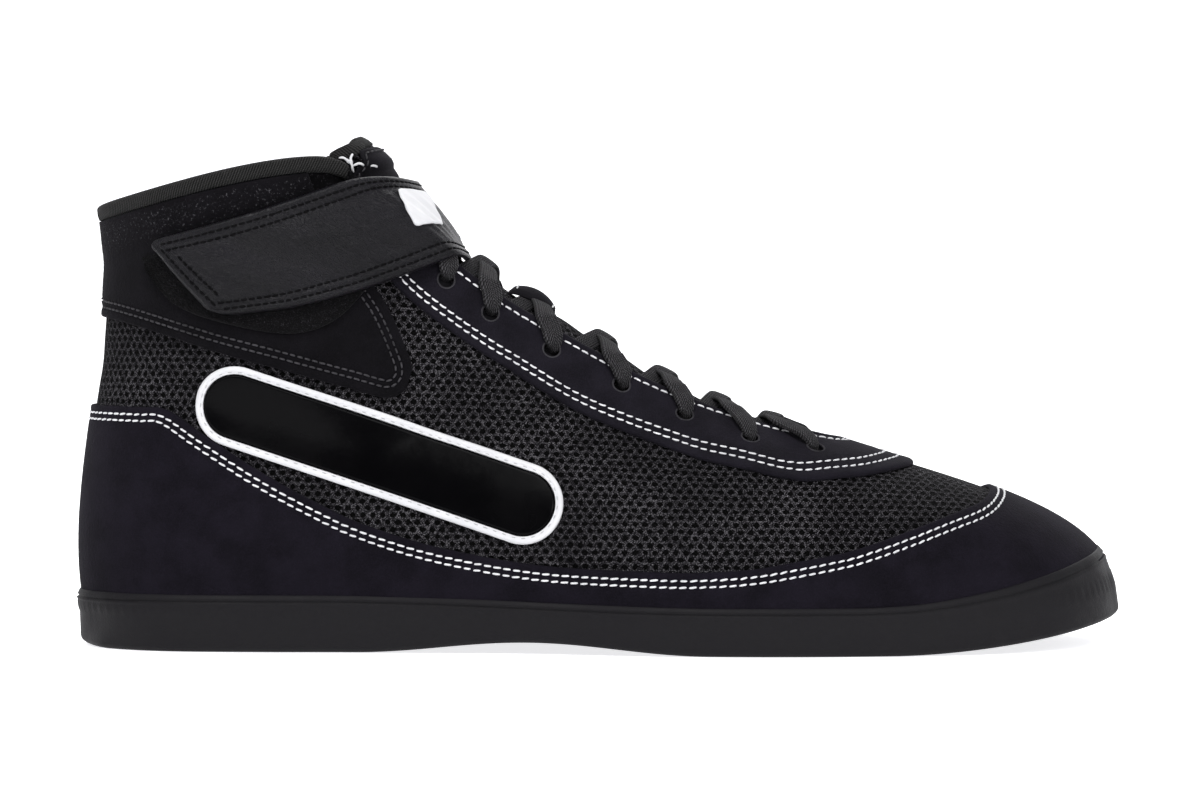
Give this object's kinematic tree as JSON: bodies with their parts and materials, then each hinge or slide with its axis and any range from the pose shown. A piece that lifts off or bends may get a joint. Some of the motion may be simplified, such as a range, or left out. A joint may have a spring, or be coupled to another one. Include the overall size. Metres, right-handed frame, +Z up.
{
  "type": "wrestling shoe",
  "caption": "High lace-up wrestling shoe for the right foot, with a thin rubber cup sole, mesh and suede upper, padded collar and ankle strap",
  "frame": {"origin": "on the ground, below the middle of the whole shoe's length and width", "axes": "+X from heel to toe, +Y to the foot's inner side, +Z up"},
  "size_m": [0.2883, 0.1037, 0.1389],
  "materials": {
    "outsole": "matt",
    "insole": "matt",
    "upper": "sandwich mesh",
    "foxing": "suede",
    "eyestay": "suede",
    "ankle_panel": "suede",
    "side_panel": "smooth",
    "side_panel_rim": "smooth",
    "collar_binding": "ribbed knit",
    "tongue": "padded mesh",
    "fastening_patch": "loop pile",
    "ankle_strap": "pebbled",
    "strap_label": "smooth",
    "lace_crossings": "flat woven"
  },
  "bodies": {
    "root": {"outsole": "outsole", "insole": "insole", "upper": "upper", "foxing": "foxing", "eyestay": "eyestay", "ankle_panel": "ankle_panel", "side_panel": "side_panel", "side_panel_rim": "side_panel_rim", "collar_binding": "collar_binding", "tongue": "tongue", "fastening_patch": "fastening_patch", "ankle_strap": "ankle_strap", "strap_label": "strap_label", "lace_crossings": "lace_crossings"}
  },
  "joints": []
}
